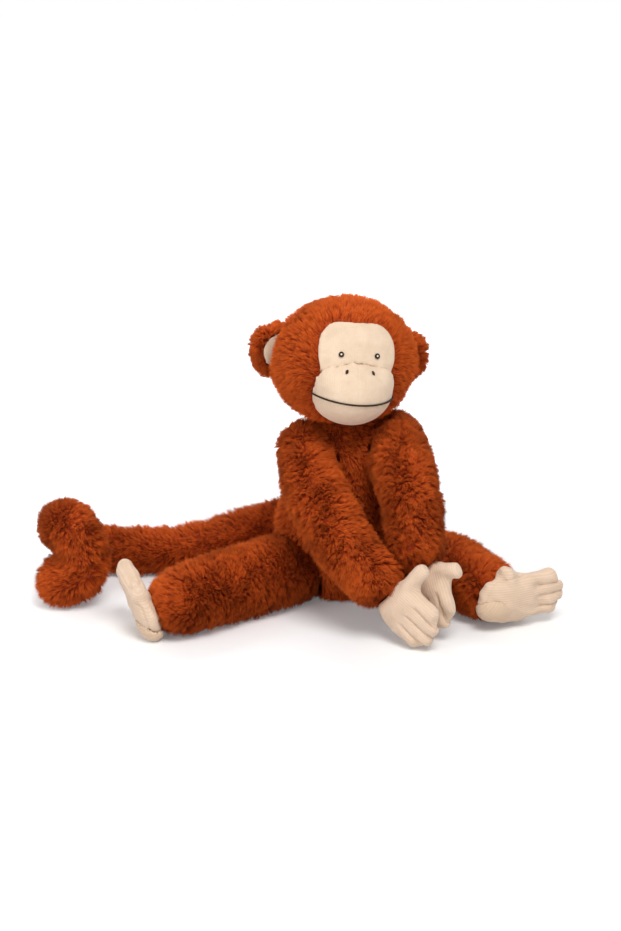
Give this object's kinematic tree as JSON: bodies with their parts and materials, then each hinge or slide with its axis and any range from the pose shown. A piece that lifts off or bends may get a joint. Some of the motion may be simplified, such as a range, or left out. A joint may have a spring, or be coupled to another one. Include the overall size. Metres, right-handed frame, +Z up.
{
  "type": "stuffed monkey",
  "caption": "Long-limbed plush monkey sitting with legs spread, hands together in front and a curled tail; shaggy brown fur with a smooth cream face, ear linings, hands and feet.",
  "frame": {"origin": "centre of the flat seat under the torso, on the surface the toy sits on", "axes": "+X to the monkey's left, along the spread of legs and tail; -Y the way it faces; +Z up"},
  "size_m": [0.5173, 0.2685, 0.3008],
  "materials": {
    "fur": "shaggy rust-brown pile plush",
    "velour": "smooth cream velour with a fine rib",
    "thread": "dark brown embroidery thread"
  },
  "bodies": {
    "torso": {"torso": "fur"},
    "head": {"ear_left": "fur", "ear_lining_left": "velour", "ear_lining_right": "velour", "ear_right": "fur", "eye_left": "thread", "eye_right": "thread", "face_panel": "velour", "head": "fur", "mouth_thread": "thread", "muzzle": "velour", "nostril_left": "thread", "nostril_right": "thread"},
    "tail": {"tail": "fur"},
    "arm_right": {"arm_right": "fur"},
    "hand_right": {"hand_right": "velour"},
    "leg_right": {"leg_right": "fur"},
    "foot_right": {"foot_right": "velour", "heel_pad_right": "velour"},
    "arm_left": {"arm_left": "fur"},
    "hand_left": {"hand_left": "velour"},
    "leg_left": {"leg_left": "fur"},
    "foot_left": {"foot_left": "velour", "heel_pad_left": "velour"}
  },
  "joints": [
    {"name": "head_turn", "type": "hinge", "parent": "torso", "child": "head", "pos_m": [0, 0, 0.19], "axis": [0, 0, 1], "range_deg": [-30, 30], "stiffness_Nm_per_rad": 0.5},
    {"name": "shoulder_right", "type": "hinge", "parent": "torso", "child": "arm_right", "pos_m": [-0.0416, -0.01727, 0.154], "axis": [-0.6838, -0.075, -0.7258], "range_deg": [0, 80]},
    {"name": "wrist_right", "type": "hinge", "parent": "arm_right", "child": "hand_right", "pos_m": [0.02163, -0.12435, 0.05955], "axis": [-0.5351, -0.8319, 0.147], "range_deg": [0, 20], "stiffness_Nm_per_rad": 0.03},
    {"name": "hip_right", "type": "hinge", "parent": "torso", "child": "leg_right", "pos_m": [-0.05672, -0.03129, 0.033], "axis": [0.6424, -0.7663, 0], "range_deg": [0, 70]},
    {"name": "ankle_right", "type": "hinge", "parent": "leg_right", "child": "foot_right", "pos_m": [-0.163, -0.12039, 0.03431], "axis": [0.1527, 0.5082, -0.8476], "range_deg": [-20, 20], "stiffness_Nm_per_rad": 0.05},
    {"name": "shoulder_left", "type": "hinge", "parent": "torso", "child": "arm_left", "pos_m": [0.04297, 0.01351, 0.154], "axis": [-0.6838, 0.075, 0.7258], "range_deg": [0, 80]},
    {"name": "wrist_left", "type": "hinge", "parent": "arm_left", "child": "hand_left", "pos_m": [0.06248, -0.10917, 0.08829], "axis": [-0.5292, -0.8292, 0.1798], "range_deg": [0, 20], "stiffness_Nm_per_rad": 0.03},
    {"name": "hip_left", "type": "hinge", "parent": "torso", "child": "leg_left", "pos_m": [0.02973, 0.00018, 0.033], "axis": [0.6063, 0.7953, 0], "range_deg": [0, 70]},
    {"name": "ankle_left", "type": "hinge", "parent": "leg_left", "child": "foot_left", "pos_m": [0.13097, -0.077, 0.03029], "axis": [-0.028, -0.0109, 0.9995], "range_deg": [-20, 20], "stiffness_Nm_per_rad": 0.05},
    {"name": "tail_swing", "type": "hinge", "parent": "torso", "child": "tail", "pos_m": [-0.01573, 0.04323, 0.042], "axis": [0, 0, -1], "range_deg": [0, 90]}
  ]
}
